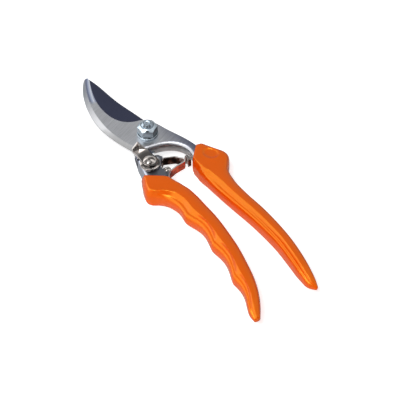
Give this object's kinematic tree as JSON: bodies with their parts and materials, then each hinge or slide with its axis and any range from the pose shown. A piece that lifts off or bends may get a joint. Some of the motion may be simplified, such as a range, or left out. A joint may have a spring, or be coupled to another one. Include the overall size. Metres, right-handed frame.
{
  "type": "bypass pruner",
  "caption": "Hand pruner with a hooked counter blade, a curved cutting blade, a thumb catch, a return spring and moulded handle grips.",
  "frame": {"origin": "on the pivot axis, at the outer face of the bolt head, which is also the plane the tool rests on when it lies on its back", "axes": "+Y towards the blade tips, +X towards the hook-side handle, +Z towards the nut side"},
  "size_m": [0.0652, 0.2309, 0.0241],
  "materials": {
    "ground_steel": "satin ground",
    "dark_blade_steel": "dark polished coating",
    "handle_steel": "satin plated",
    "zinc_plate": "bright zinc",
    "nickel_plate": "polished",
    "spring_steel": "polished strip",
    "orange_sleeve": "gloss"
  },
  "bodies": {
    "hook_side": {"counter_blade": "ground_steel", "right_grip": "orange_sleeve", "pivot_bolt": "zinc_plate", "pivot_nut": "zinc_plate", "pivot_washer": "zinc_plate", "head_washer": "zinc_plate", "spring_seat": "nickel_plate"},
    "blade_side": {"cutting_blade": "dark_blade_steel", "left_handle_frame": "handle_steel", "left_grip": "orange_sleeve", "blade_rivet": "handle_steel", "catch_rivet": "nickel_plate", "catch_base_washer": "nickel_plate", "catch_spring_washer": "nickel_plate", "return_spring": "spring_steel", "spring_pin": "nickel_plate"},
    "catch": {"catch_lever": "nickel_plate"}
  },
  "joints": [
    {"name": "jaw_pivot", "type": "hinge", "parent": "hook_side", "child": "blade_side", "pos_m": [0, 0, 0.01], "axis": [0, 0, -1], "range_deg": [0, 30]},
    {"name": "catch_pivot", "type": "hinge", "parent": "blade_side", "child": "catch", "pos_m": [-0.0136, -0.0236, 0.01675], "axis": [0, 0, -1], "range_deg": [-20, 7]}
  ]
}
